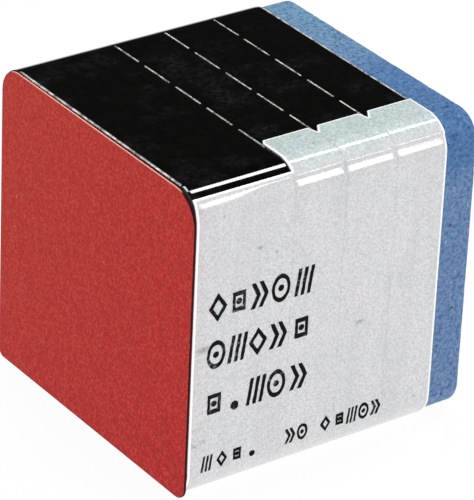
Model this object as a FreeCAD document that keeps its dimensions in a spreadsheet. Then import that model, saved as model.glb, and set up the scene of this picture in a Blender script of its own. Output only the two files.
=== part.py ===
import FreeCAD, Part
import os
import Sketcher

# Cue chalk cube: a pressed chalk block with a dished working face, a red label on its base and a
# black and silver wrap whose three perforated strips are torn off as the chalk wears down.
#
# Millimetres. X runs from the labelled base to the working face, Y from the silver front to the
# back, and Z up from the side that the cube lies on. The origin is on that side, below the centre.

SIZES = {
    "wrap_width": 22.4,       # across the wrap, front to back
    "wrap_height": 22.2,      # across the wrap, bottom to top
    "overall_length": 22.3,   # base label to working face
    "edge_round": 2.1,        # outside radius of the wrap round the four long edges
    "film": 0.12,             # thickness of the wrap label
    "glue_line": 0.03,        # adhesive between the wrap and the chalk
    "base_film": 0.15,        # thickness of the base label
    "base_inset": 0.1,        # how far the base label stays inside the wrap's outline
    "label_front_top": 2.2,   # rounding of each corner of the base label
    "label_back_top": 1.9,
    "label_back_bottom": 0.5,
    "label_front_bottom": 1,
    "bare_chalk": 2.65,       # chalk left bare beyond the wrap at the working end
    "strip_pitch": 4,         # one tear-off strip to the next
    "cut_width": 0.04,        # width of a perforation cut
    "cut_length": 2.75,       # length of a perforation cut
    "cut_pitch": 3.55,        # one perforation cut to the next
    "cuts_per_side": 5,
    "first_top_cut": -7.6,    # where the row of cuts on top starts, in Y
    "black_end": 141.5,       # angle round the front top edge where the black film ends
    "silver_end": 131,        # angle round that edge where the base band's silver film ends
    "seam_angle": -45,        # angle round the back bottom edge where black meets silver
    "ramp_angle": 4,          # angle that the lap takes to climb on to the black film
    "lap_gap": 0.02,          # adhesive between the lap and the black film
    "lap_reach": 4.15,        # how far the lift tabs reach back from the front
    "near_notch_wide": 0.5,   # corner cut off a lift tab at its base side, along X
    "near_notch_deep": 0.78,  # the same corner, along Y
    "far_notch_wide": 0.26,   # corner cut off a lift tab at its working side, along X
    "far_notch_deep": 0.8,    # the same corner, along Y
    "first_notch": 0.5,       # size of the first tab's near corner cut, against the others'
    "dish_width": 14.5,       # mouth of the dish in the working face
    "dish_depth": 2.6,
    "chalk_edge": 0.3,        # rounding round the working face
}
STRIPS = 3
CUT_MARGIN = 1.0              # how far cutters stand clear of what they cut

doc = FreeCAD.newDocument("cue_chalk_cube")
sheet = doc.addObject("Spreadsheet::Sheet", "Sizes")
for row, (alias, value) in enumerate(SIZES.items(), start=1):
    sheet.set(f"A{row}", alias)
    sheet.set(f"B{row}", str(value))
    sheet.setAlias(f"B{row}", alias)
doc.recompute()


def size(formula):
    """A formula in the sheet's aliases, as an expression that other objects can hold."""
    for alias in sorted(SIZES, key=len, reverse=True):
        formula = formula.replace(f"<{alias}>", f"Sizes.{alias}")
    return f"({formula})"


HALF_WIDTH = size("<wrap_width> / 2")
HEIGHT = size("<wrap_height>")
LENGTH = size("<overall_length>")
WRAP_START = size("-<overall_length> / 2 + <base_film>")
WRAP_END = size("<overall_length> / 2 - <bare_chalk>")
FIRST_LINE = size(f"{WRAP_END} - {STRIPS} * <strip_pitch>")

# Radii round the long edges, from the inside of the film to the top of the lap.
INNER = size("<edge_round> - <film>")
OUTER = size("<edge_round>")
LAP_INNER = size("<edge_round> + <lap_gap>")
LAP_OUTER = size("<edge_round> + <lap_gap> + <film>")

# Centres that the film bends round at the long edges.
FRONT_Y = size("-<wrap_width> / 2 + <edge_round>")
BACK_Y = size("<wrap_width> / 2 - <edge_round>")
BOTTOM_Z = size("<edge_round>")
TOP_Z = size("<wrap_height> - <edge_round>")
FRONT_TOP = (FRONT_Y, TOP_Z)
BACK_TOP = (BACK_Y, TOP_Z)
BACK_BOTTOM = (BACK_Y, BOTTOM_Z)
FRONT_BOTTOM = (FRONT_Y, BOTTOM_Z)

# Directions round a long edge, in degrees from +Y towards +Z.
BACK, TOP, FRONT, BOTTOM = 0, 90, 180, -90
RAMP_FOOT = size("<black_end> + <ramp_angle>")
RAMP_FOOT_INSIDE = size("<black_end> + 1.5 * <ramp_angle>")
RAMP_HEAD = size("<black_end> - <ramp_angle> / 4")
RAMP_HEAD_INSIDE = size("<black_end> + <ramp_angle> / 4")


def round_edge(centre, radius, angle):
    """A point of an outline on a curve round one long edge."""
    across = f"{centre[0]} + {radius} * cos({angle} * 1 deg)"
    up = f"{centre[1]} + {radius} * sin({angle} * 1 deg)"
    return across, up, (centre, radius)


def point(across, up):
    """A point of an outline that isn't on a curve."""
    return across, up, None


def origin_part(body, role):
    """One of a body's own origin planes or axes."""
    return next(part for part in body.Origin.OriginFeatures if part.Role == role)


def new_body(name, along=None, up=None):
    """An empty body, moved to its place along X and Z."""
    body = doc.addObject("PartDesign::Body", name)
    body.Label = name
    if along:
        body.setExpression("Placement.Base.x", along)
    if up:
        body.setExpression("Placement.Base.z", up)
    return body


def new_sketch(body, plane):
    """An empty sketch on one of the body's origin planes."""
    sketch = body.newObject("Sketcher::SketchObject", f"{body.Name}_sketch")
    sketch.AttachmentSupport = [(origin_part(body, plane), "")]
    sketch.MapMode = "FlatFace"
    doc.recompute()
    return sketch


def value_of(sketch, formula):
    """The number that a formula gives now."""
    result = sketch.evalExpression(formula)
    return float(getattr(result, "Value", result))


def bind(sketch, constraint, formula):
    """Adds a constraint and ties its value to the sheet."""
    index = sketch.addConstraint(constraint)
    sketch.setExpression(f"Constraints[{index}]", formula)


def outline(sketch, points):
    """A closed outline. Two points on one curve are joined by an arc, and others by a line."""
    places = [FreeCAD.Vector(value_of(sketch, p[0]), value_of(sketch, p[1]), 0) for p in points]
    ends = []
    for i, (_, _, curve) in enumerate(points):
        j = (i + 1) % len(points)
        if curve is None or curve != points[j][2]:
            edge = sketch.addGeometry(Part.LineSegment(places[i], places[j]))
            ends.append((edge, 1, 2))
            continue
        centre = FreeCAD.Vector(*(value_of(sketch, c) for c in curve[0]), 0)
        radius = value_of(sketch, curve[1])
        circle = Part.Circle(centre, FreeCAD.Vector(0, 0, 1), radius)
        turn = (places[i] - centre).cross(places[j] - centre).z
        first, last = (places[i], places[j]) if turn > 0 else (places[j], places[i])
        arc = Part.ArcOfCircle(circle, circle.parameter(first), circle.parameter(last))
        edge = sketch.addGeometry(arc)
        bind(sketch, Sketcher.Constraint("Radius", edge, radius), curve[1])
        ends.append((edge, 1, 2) if turn > 0 else (edge, 2, 1))
    for i, (edge, start, _) in enumerate(ends):
        before, _, end = ends[i - 1]
        sketch.addConstraint(Sketcher.Constraint("Coincident", before, end, edge, start))
        across = Sketcher.Constraint("DistanceX", -1, 1, edge, start, places[i].x)
        bind(sketch, across, points[i][0])
        up = Sketcher.Constraint("DistanceY", -1, 1, edge, start, places[i].y)
        bind(sketch, up, points[i][1])


def rectangle(low_across, low_up, high_across, high_up):
    """The four corners of an upright rectangle."""
    return [
        point(low_across, low_up),
        point(high_across, low_up),
        point(high_across, high_up),
        point(low_across, high_up),
    ]


def pad(body, sketch, length):
    """The body's first feature: the sketch's outline carried along +X."""
    feature = body.newObject("PartDesign::Pad", f"{body.Name}_pad")
    feature.Profile = sketch
    feature.setExpression("Length", length)
    doc.recompute()
    return feature


def check_cut(before, feature):
    """Stops if a cutting feature has taken nothing away."""
    if feature.Shape.Volume >= before - 1e-6:
        raise RuntimeError(f"{feature.Name} cuts nothing")


def pocket(body, sketch, depth=None):
    """A cut from the sketch along its normal, or through everything on both sides."""
    before = body.Shape.Volume
    feature = body.newObject("PartDesign::Pocket", f"{body.Name}_pocket")
    feature.Profile = sketch
    if depth:
        feature.Reversed = True
        feature.setExpression("Length", depth)
    else:
        feature.Type = "ThroughAll"
        feature.SideType = "Symmetric"
    doc.recompute()
    check_cut(before, feature)
    return feature


def repeat(body, feature, axis):
    """A row of the same cut along one of the body's own axes."""
    before = body.Shape.Volume
    pattern = body.newObject("PartDesign::LinearPattern", f"{body.Name}_row")
    pattern.Originals = [feature]
    pattern.Direction = (origin_part(body, axis), [""])
    pattern.setExpression("Length", size("<cut_pitch> * (<cuts_per_side> - 1)"))
    pattern.setExpression("Occurrences", size("<cuts_per_side>"))
    body.Tip = pattern
    doc.recompute()
    check_cut(before, pattern)


def perforate(body, corners, axis):
    """A row of perforation cuts in the edge of a strip that faces the base."""
    sketch = new_sketch(body, "YZ_Plane")
    outline(sketch, corners)
    cut = pocket(body, sketch, size("<cut_width>"))
    repeat(body, cut, axis)


def black_section():
    """Black film: from under the lap, over the top and down the back to the seam."""
    end, seam = size("<black_end>"), size("<seam_angle>")
    outside = [
        round_edge(FRONT_TOP, OUTER, end),
        round_edge(FRONT_TOP, OUTER, TOP),
        round_edge(BACK_TOP, OUTER, TOP),
        round_edge(BACK_TOP, OUTER, BACK),
        round_edge(BACK_BOTTOM, OUTER, BACK),
        round_edge(BACK_BOTTOM, OUTER, seam),
    ]
    inside = [
        round_edge(BACK_BOTTOM, INNER, seam),
        round_edge(BACK_BOTTOM, INNER, BACK),
        round_edge(BACK_TOP, INNER, BACK),
        round_edge(BACK_TOP, INNER, TOP),
        round_edge(FRONT_TOP, INNER, TOP),
        round_edge(FRONT_TOP, INNER, end),
    ]
    return outside + inside


def lap_start():
    """The lap's outside, from the front up on to the black film."""
    return [
        round_edge(FRONT_TOP, OUTER, FRONT),
        round_edge(FRONT_TOP, OUTER, RAMP_FOOT),
        round_edge(FRONT_TOP, LAP_OUTER, RAMP_HEAD),
    ]


def lap_finish():
    """The lap's inside, from the black film back down to the front."""
    return [
        round_edge(FRONT_TOP, LAP_INNER, RAMP_HEAD_INSIDE),
        round_edge(FRONT_TOP, INNER, RAMP_FOOT_INSIDE),
        round_edge(FRONT_TOP, INNER, FRONT),
    ]


def silver_section(top):
    """Silver film: from the seam, under the bottom and up the front, and then the given top."""
    seam = size("<seam_angle>")
    outside = [
        round_edge(BACK_BOTTOM, OUTER, seam),
        round_edge(BACK_BOTTOM, OUTER, BOTTOM),
        round_edge(FRONT_BOTTOM, OUTER, BOTTOM),
        round_edge(FRONT_BOTTOM, OUTER, -FRONT),
    ]
    inside = [
        round_edge(FRONT_BOTTOM, INNER, -FRONT),
        round_edge(FRONT_BOTTOM, INNER, BOTTOM),
        round_edge(BACK_BOTTOM, INNER, BOTTOM),
        round_edge(BACK_BOTTOM, INNER, seam),
    ]
    return outside + top + inside


def cut_top():
    """The base band's silver ends just over the black film, round the front top edge."""
    end = size("<silver_end>")
    lap_end = [
        round_edge(FRONT_TOP, LAP_OUTER, end),
        round_edge(FRONT_TOP, LAP_INNER, end),
    ]
    return lap_start() + lap_end + lap_finish()


def fold_top():
    """A strip's silver ends at the fold line of its lift tab."""
    return [
        round_edge(FRONT_TOP, OUTER, FRONT),
        round_edge(FRONT_TOP, INNER, FRONT),
    ]


def tab_section():
    """A lift tab: round the front top edge, over the black film and back along the top."""
    reach = f"-{HALF_WIDTH} + {size('<lap_reach>')}"
    over = [
        round_edge(FRONT_TOP, LAP_OUTER, TOP),
        point(reach, f"{TOP_Z} + {LAP_OUTER}"),
        point(reach, f"{TOP_Z} + {LAP_INNER}"),
        round_edge(FRONT_TOP, LAP_INNER, TOP),
    ]
    return lap_start() + over + lap_finish()


def film(name, section, along, width):
    """A length of film with one section all along X."""
    body = new_body(name, along=along)
    sketch = new_sketch(body, "YZ_Plane")
    outline(sketch, section)
    pad(body, sketch, width)
    return body


def chalk_block():
    """The pressed block, with rounded long edges and a dish for the cue tip."""
    start = size("-<overall_length> / 2 + <base_film>")
    body = new_body("chalk_block", along=start, up=size("<wrap_height> / 2"))
    half_wide = size("<wrap_width> / 2 - <film> - <glue_line>")
    half_high = size("<wrap_height> / 2 - <film> - <glue_line>")
    sketch = new_sketch(body, "YZ_Plane")
    outline(sketch, rectangle(f"-{half_wide}", f"-{half_high}", half_wide, half_high))
    block = pad(body, sketch, size("<overall_length> - <base_film>"))

    long_edges = [
        f"Edge{i}"
        for i, edge in enumerate(block.Shape.Edges, start=1)
        if abs(edge.tangentAt(edge.FirstParameter).x) > 0.99
    ]
    rounded = body.newObject("PartDesign::Fillet", "long_edge_rounds")
    rounded.Base = (block, long_edges)
    rounded.setExpression("Radius", size("<edge_round> - <film> - <glue_line>"))
    doc.recompute()

    face_x = rounded.Shape.BoundBox.XMax
    face_edges = [
        f"Edge{i}"
        for i, edge in enumerate(rounded.Shape.Edges, start=1)
        if edge.BoundBox.XMin > face_x - 1e-6
    ]
    softened = body.newObject("PartDesign::Fillet", "working_face_rounds")
    softened.Base = (rounded, face_edges)
    softened.setExpression("Radius", size("<chalk_edge>"))
    doc.recompute()

    face = size("<overall_length> - <base_film>")
    mouth = size("<dish_width> / 2")
    floor = f"{face} - {size('<dish_depth>')}"
    radius = size("(<dish_width> ^ 2 / 4 + <dish_depth> ^ 2) / (2 * <dish_depth>)")
    bowl = ((f"{floor} + {radius}", "0"), radius)
    section = [
        (floor, "0", bowl),
        (face, mouth, bowl),
        point(f"{face} + {CUT_MARGIN}", mouth),
        point(f"{face} + {CUT_MARGIN}", "0"),
    ]
    before = body.Shape.Volume
    sketch = new_sketch(body, "XZ_Plane")
    outline(sketch, section)
    dish = body.newObject("PartDesign::Groove", "dish")
    dish.Profile = sketch
    dish.ReferenceAxis = (origin_part(body, "X_Axis"), [""])
    dish.Angle = 360
    doc.recompute()
    check_cut(before, dish)
    return body


def base_label():
    """The red label over the end away from the working face, with its corners cut unalike."""
    body = new_body("base_label", along=size("-<overall_length> / 2"))
    inset = size("<base_inset>")
    side = f"({HALF_WIDTH} - {inset})"
    top = f"{HEIGHT} - {inset}"
    back_top, front_top = size("<label_back_top>"), size("<label_front_top>")
    back_bottom, front_bottom = size("<label_back_bottom>"), size("<label_front_bottom>")
    corners = [
        ((f"{side} - {back_top}", f"{top} - {back_top}"), back_top, BACK, TOP),
        ((f"{front_top} - {side}", f"{top} - {front_top}"), front_top, TOP, FRONT),
        ((f"{front_bottom} - {side}", f"{inset} + {front_bottom}"), front_bottom, FRONT, 270),
        ((f"{side} - {back_bottom}", f"{inset} + {back_bottom}"), back_bottom, BOTTOM, BACK),
    ]
    section = [
        round_edge(centre, radius, angle)
        for centre, radius, start, end in corners
        for angle in (start, end)
    ]
    sketch = new_sketch(body, "YZ_Plane")
    outline(sketch, section)
    pad(body, sketch, size("<base_film>"))
    return body


def base_band():
    """The part of the wrap that stays on when every strip has been torn off."""
    width = f"{FIRST_LINE} - {WRAP_START}"
    black = film("base_band_black", black_section(), WRAP_START, width)
    silver = film("base_band_silver", silver_section(cut_top()), WRAP_START, width)
    return [black, silver]


def tear_strip(number):
    """One tear-off strip: black film, silver film and the lift tab folded over the black."""
    line = f"{FIRST_LINE} + {number - 1} * {size('<strip_pitch>')}"
    width = size("<strip_pitch>")
    over, under = size("<film> + 0.5"), size("-0.5")
    row_start = size("(<cut_pitch> * (<cuts_per_side> - 1) + <cut_length>) / 2")
    cut = size("<cut_length>")

    black = film(f"tear_strip_{number}_black", black_section(), line, width)
    first = size("<first_top_cut>")
    top = rectangle(first, f"{HEIGHT} - {over}", f"{first} + {cut}", f"{HEIGHT} - {under}")
    perforate(black, top, "Y_Axis")
    low = f"{HEIGHT} / 2 - {row_start}"
    back = rectangle(f"{HALF_WIDTH} - {over}", low, f"{HALF_WIDTH} - {under}", f"{low} + {cut}")
    perforate(black, back, "Z_Axis")

    silver = film(f"tear_strip_{number}_silver", silver_section(fold_top()), line, width)
    bottom = rectangle(f"-{row_start}", under, f"-{row_start} + {cut}", over)
    perforate(silver, bottom, "Y_Axis")
    front = rectangle(f"-{HALF_WIDTH} + {under}", low, f"-{HALF_WIDTH} + {over}", f"{low} + {cut}")
    perforate(silver, front, "Z_Axis")

    return [black, silver, lift_tab(number, line)]


def cut_corner(side, way, wide, deep):
    """The outline of a corner cut off a tab's free end, at a side that faces away from way."""
    end = f"-{HALF_WIDTH} + {size('<lap_reach>')}"
    inner = f"{side} + {way} * {wide}"
    outer = f"{side} - {way} * {CUT_MARGIN}"
    return [
        point(side, f"{end} - {deep}"),
        point(inner, end),
        point(inner, f"{end} + {CUT_MARGIN}"),
        point(outer, f"{end} + {CUT_MARGIN}"),
        point(outer, f"{end} - {deep}"),
    ]


def lift_tab(number, line):
    """A strip's free end, cut right through beside its neighbour, with V notches between tabs."""
    width = size("<strip_pitch> - <cut_width>")
    tab = film(f"lift_tab_{number}", tab_section(), f"{line} + {size('<cut_width>')}", width)
    share = size("<first_notch>") if number == 1 else "1"
    wide, deep = size("<near_notch_wide>"), size("<near_notch_deep>")
    sketch = new_sketch(tab, "XY_Plane")
    outline(sketch, cut_corner("0", 1, f"{share} * {wide}", f"{share} * {deep}"))
    if number < STRIPS:
        outline(sketch, cut_corner(width, -1, size("<far_notch_wide>"), size("<far_notch_deep>")))
    pocket(tab, sketch)
    return tab


parts = [chalk_block(), base_label()] + base_band()
for strip in range(1, STRIPS + 1):
    parts += tear_strip(strip)
doc.recompute()

for item in doc.Objects:
    if "Invalid" in item.State or "Error" in item.State:
        raise RuntimeError(f"{item.Name} failed: {item.State}")
for part in parts:
    if part.Shape.isNull() or not part.Shape.isValid():
        raise RuntimeError(f"{part.Label} has no valid shape")

os.makedirs("parts", exist_ok=True)
for part in parts:
    part.Shape.exportStep(f"parts/{part.Label}.step")
    box = part.Shape.BoundBox
    print(
        f"{part.Label}: {len(part.Shape.Solids)} solid, {part.Shape.Volume:.2f} mm3,"
        f" X {box.XMin:.3f} {box.XMax:.3f} Y {box.YMin:.3f} {box.YMax:.3f} Z {box.ZMin:.3f} {box.ZMax:.3f}"
    )
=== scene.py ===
import math

import bpy
import numpy as np
from mathutils import Matrix, Vector, noise


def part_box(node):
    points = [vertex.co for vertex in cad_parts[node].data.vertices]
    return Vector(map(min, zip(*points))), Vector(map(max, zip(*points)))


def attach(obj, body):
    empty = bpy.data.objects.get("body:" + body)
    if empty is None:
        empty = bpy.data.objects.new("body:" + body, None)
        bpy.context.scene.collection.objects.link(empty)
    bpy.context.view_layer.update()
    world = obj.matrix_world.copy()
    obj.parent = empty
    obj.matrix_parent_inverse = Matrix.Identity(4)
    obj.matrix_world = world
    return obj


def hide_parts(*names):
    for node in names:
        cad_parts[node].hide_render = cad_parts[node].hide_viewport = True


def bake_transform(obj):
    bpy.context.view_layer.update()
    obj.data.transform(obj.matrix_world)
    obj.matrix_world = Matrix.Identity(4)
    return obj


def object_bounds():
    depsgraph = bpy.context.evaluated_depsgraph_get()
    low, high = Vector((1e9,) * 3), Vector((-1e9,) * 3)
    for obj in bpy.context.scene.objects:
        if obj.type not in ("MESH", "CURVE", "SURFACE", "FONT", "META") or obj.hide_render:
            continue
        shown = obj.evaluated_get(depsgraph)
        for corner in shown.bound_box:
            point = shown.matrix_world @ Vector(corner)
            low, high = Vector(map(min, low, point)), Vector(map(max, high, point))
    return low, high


# Cue chalk cube: the looks. Shapes are worked out in millimetres and written in metres.
# X runs from the red base to the dished face, Y from the silver front to the back, Z up.

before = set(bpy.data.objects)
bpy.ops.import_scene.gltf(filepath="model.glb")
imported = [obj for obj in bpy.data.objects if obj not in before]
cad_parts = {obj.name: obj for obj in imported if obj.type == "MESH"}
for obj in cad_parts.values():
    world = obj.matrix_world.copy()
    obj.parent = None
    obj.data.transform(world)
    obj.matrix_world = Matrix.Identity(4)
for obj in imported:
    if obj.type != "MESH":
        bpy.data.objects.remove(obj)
cad_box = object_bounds()
noise.seed_set(1)                         # without it noise_vector() follows the clock

MM = 0.001
STRIPS = (1, 2, 3)


def box_mm(node):
    """A CAD node's lowest and highest corner, in millimetres."""
    low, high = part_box(node)
    return low / MM, high / MM


# ---------------------------------------------------------------- sizes read from the frame

base_low, base_high = box_mm("base_label")
chalk_low, chalk_high = box_mm("chalk_block")
black_low, black_high = box_mm("base_band_black")
strip_boxes = {n: box_mm(f"tear_strip_{n}_black") for n in STRIPS}
tab_boxes = {n: box_mm(f"lift_tab_{n}") for n in STRIPS}

WIDTH = 2 * black_high.y
HEIGHT = black_high.z
ROUND = HEIGHT - box_mm("tear_strip_1_silver")[1].z
LAP_RISE = tab_boxes[1][1].z - HEIGHT
CUT = tab_boxes[1][0].x - strip_boxes[1][0].x
LAP_REACH = tab_boxes[1][1].y + WIDTH / 2
WRAP_START = black_low.x
WRAP_END = strip_boxes[3][1].x
CHALK_ROUND = ROUND - (HEIGHT - chalk_high.z)

# Sizes that no box gives. Angles are degrees round the front top edge, from the front.
FILM = 0.12
BLACK_END = 38.5
SILVER_END = 49.0
SEAM = 45.0
RAMP = (31.5, 41.0)
WIDE_RAMP = (15.0, 47.0)
CUT_LENGTH = 2.75
CUT_PITCH = 3.55
CUTS = 5
FIRST_TOP_CUT = -7.6
NEAR_NOTCH = (0.5, 0.78)
FAR_NOTCH = (0.26, 0.8)
FIRST_NOTCH = 0.5
LAP_SHIFTS = {1: 0.0, 2: -1.0, 3: 0.8}    # degrees that each strip's lap is moved round by
CREASE_ANGLE = 26                         # down from the top
CREASE_RISE = 0.010
CREASE_WIDTH = 0.15
DISH_WIDTH = 14.5
DISH_DEPTH = 2.6
CHALK_EDGE = 0.3                          # rounding round the dished face
GLUED_EDGE = 0.1                          # rounding round the end under the red label
LABEL_EDGE = 0.02                         # rounding of the red label's printed face
LABEL_ROUNDS = (1.9, 0.5, 1.0, 2.2)       # back top, back bottom, front bottom, front top
LABEL_SKEW = 0.12                         # how far the red label's top side sinks at the front
SLIT = CUT / 4                            # how far a strip's film is cut back at a perforation cut

# ---------------------------------------------------------------- the wrap's cross-section

QUARTER = math.pi / 2 * ROUND
TOP_FLAT = WIDTH - 2 * ROUND
SIDE_FLAT = HEIGHT - 2 * ROUND
PERIMETER = 4 * QUARTER + 2 * TOP_FLAT + 2 * SIDE_FLAT
HALF_Y = WIDTH / 2 - ROUND
LOW_Z = ROUND
HIGH_Z = HEIGHT - ROUND
# Each stretch going round from the top of the front: length, start, direction or centre, first angle.
STRETCHES = (
    ("arc", QUARTER, (-HALF_Y, HIGH_Z), 180),
    ("flat", TOP_FLAT, (-HALF_Y, HEIGHT), 90),
    ("arc", QUARTER, (HALF_Y, HIGH_Z), 90),
    ("flat", SIDE_FLAT, (WIDTH / 2, HIGH_Z), 0),
    ("arc", QUARTER, (HALF_Y, LOW_Z), 0),
    ("flat", TOP_FLAT, (HALF_Y, 0), -90),
    ("arc", QUARTER, (-HALF_Y, LOW_Z), -90),
    ("flat", SIDE_FLAT, (-WIDTH / 2, LOW_Z), 180),
)
TOP_START = QUARTER
BACK_START = 2 * QUARTER + TOP_FLAT
BOTTOM_END = -(SIDE_FLAT + QUARTER)
BLACK_SPAN = (ROUND * math.radians(BLACK_END), BACK_START + SIDE_FLAT + ROUND * math.radians(SEAM))
SILVER_START = BOTTOM_END - TOP_FLAT - ROUND * math.radians(90 - SEAM)
SILVER_BASE_END = ROUND * math.radians(SILVER_END)
TAB_END = QUARTER + LAP_REACH - ROUND


def wrap_place(u, height):
    """(y, z) of a point of the wrap: u along its outline from the top of the front, height above it."""
    u = u % PERIMETER
    for shape, length, (y, z), angle in STRETCHES:
        if u <= length + 1e-9:
            break
        u -= length
    if shape == "arc":
        turn = math.radians(angle) - u / ROUND
        reach = ROUND + height
        return y + reach * math.cos(turn), z + reach * math.sin(turn)
    turn = math.radians(angle)
    out = (math.cos(turn), math.sin(turn))
    along = (out[1], -out[0])
    return y + along[0] * u + out[0] * height, z + along[1] * u + out[1] * height


def smooth(t):
    """Eases from 0 to 1 as t goes from 0 to 1."""
    t = min(max(t, 0.0), 1.0)
    return t * t * (3 - 2 * t)


def lap_height(u, ramp):
    """How far the silver film stands above the outline. It climbs between the ramp's two angles."""
    start, end = (ROUND * math.radians(angle) for angle in ramp)
    return LAP_RISE * smooth((u - start) / (end - start))


# ---------------------------------------------------------------- materials


class Nodes:
    """A short way to write a material's nodes."""

    def __init__(self, name):
        self.material = bpy.data.materials.new(name)
        self.material.use_nodes = True
        self.tree = self.material.node_tree
        self.shader = self.tree.nodes["Principled BSDF"]
        self.coords = self.tree.nodes.new("ShaderNodeTexCoord").outputs["Object"]

    def link(self, source, target):
        self.tree.links.new(source, target)

    def set(self, **values):
        """Sets the shader's own sockets, such as Coat_Weight=1."""
        for name, value in values.items():
            self.shader.inputs[name.replace("_", " ")].default_value = value

    def noise(self, size_mm, detail=2.0, roughness=0.5, stretch=(1, 1, 1), offset=0.0):
        """Noise with features of about size_mm, from 0 to 1."""
        mapping = self.tree.nodes.new("ShaderNodeMapping")
        mapping.inputs["Scale"].default_value = [1 / (size_mm * MM) * s for s in stretch]
        mapping.inputs["Location"].default_value = (offset, offset * 1.7, offset * 0.6)
        texture = self.tree.nodes.new("ShaderNodeTexNoise")
        texture.inputs["Scale"].default_value = 1.0
        texture.inputs["Detail"].default_value = detail
        texture.inputs["Roughness"].default_value = roughness
        self.link(self.coords, mapping.inputs["Vector"])
        self.link(mapping.outputs["Vector"], texture.inputs["Vector"])
        return texture.outputs["Fac"]

    def cells(self, size_mm, randomness=1.0):
        """Distance to the nearest of scattered points about size_mm apart."""
        texture = self.tree.nodes.new("ShaderNodeTexVoronoi")
        texture.inputs["Scale"].default_value = 1 / (size_mm * MM)
        texture.inputs["Randomness"].default_value = randomness
        self.link(self.coords, texture.inputs["Vector"])
        return texture.outputs["Distance"]

    def ramp(self, value, *stops):
        """A colour ramp. Each stop is (place, colour), where colour may be one number."""
        node = self.tree.nodes.new("ShaderNodeValToRGB")
        elements = node.color_ramp.elements
        while len(elements) < len(stops):
            elements.new(0.5)
        for element, (place, colour) in zip(elements, stops):
            element.position = place
            element.color = (*colour, 1) if hasattr(colour, "__len__") else (colour,) * 3 + (1,)
        self.link(value, node.inputs["Fac"])
        return node.outputs["Color"]

    def range(self, value, low, high, to_low=0.0, to_high=1.0):
        """value stretched so that low and high become to_low and to_high, and held between them."""
        node = self.tree.nodes.new("ShaderNodeMapRange")
        for name, number in (
            ("From Min", low), ("From Max", high), ("To Min", to_low), ("To Max", to_high),
        ):
            node.inputs[name].default_value = number
        self.link(value, node.inputs["Value"])
        return node.outputs["Result"]

    def math(self, operation, a, b):
        """Two values or outputs joined by a maths operation."""
        node = self.tree.nodes.new("ShaderNodeMath")
        node.operation = operation
        for socket, value in zip(node.inputs, (a, b)):
            if isinstance(value, (int, float)):
                socket.default_value = value
            else:
                self.link(value, socket)
        return node.outputs["Value"]

    def mix(self, factor, a, b, blend="MIX"):
        """Colour a with b laid over it by factor."""
        node = self.tree.nodes.new("ShaderNodeMix")
        node.data_type = "RGBA"
        node.blend_type = blend
        for name, value in (("Factor", factor), ("A", a), ("B", b)):
            socket = next(s for s in node.inputs if s.name == name and s.type in (
                ("VALUE",) if name == "Factor" else ("RGBA",)))
            if isinstance(value, (int, float)):
                socket.default_value = value
            elif isinstance(value, (tuple, list)):
                socket.default_value = (*value, 1)
            else:
                self.link(value, socket)
        return next(s for s in node.outputs if s.type == "RGBA")

    def attribute(self, name):
        """A number stored on the mesh's points."""
        node = self.tree.nodes.new("ShaderNodeAttribute")
        node.attribute_name = name
        return node.outputs["Fac"]

    def spot(self, centre, size):
        """A soft spot, 1 at its centre and 0 at its edge. centre and size are in millimetres."""
        mapping = self.tree.nodes.new("ShaderNodeMapping")
        mapping.inputs["Scale"].default_value = [1 / (s * MM) for s in size]
        mapping.inputs["Location"].default_value = [-c / s for c, s in zip(centre, size)]
        texture = self.tree.nodes.new("ShaderNodeTexGradient")
        texture.gradient_type = "SPHERICAL"
        self.link(self.coords, mapping.inputs["Vector"])
        self.link(mapping.outputs["Vector"], texture.inputs["Vector"])
        return texture.outputs["Fac"]

    def axis(self, letter):
        """Place along one axis, in millimetres."""
        node = self.tree.nodes.new("ShaderNodeSeparateXYZ")
        self.link(self.coords, node.inputs["Vector"])
        return self.math("MULTIPLY", node.outputs[letter], 1 / MM)

    def bump(self, *layers):
        """Bumps laid over each other. Each layer is (height from 0 to 1, depth in mm)."""
        normal = None
        for height, depth_mm in layers:
            node = self.tree.nodes.new("ShaderNodeBump")
            node.inputs["Strength"].default_value = 1.0
            node.inputs["Distance"].default_value = depth_mm * MM
            self.link(height, node.inputs["Height"])
            if normal is not None:
                self.link(normal, node.inputs["Normal"])
            normal = node.outputs["Normal"]
        self.link(normal, self.shader.inputs["Normal"])

    def colour(self, output):
        self.link(output, self.shader.inputs["Base Color"])

    def roughness(self, output):
        self.link(output, self.shader.inputs["Roughness"])


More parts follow.
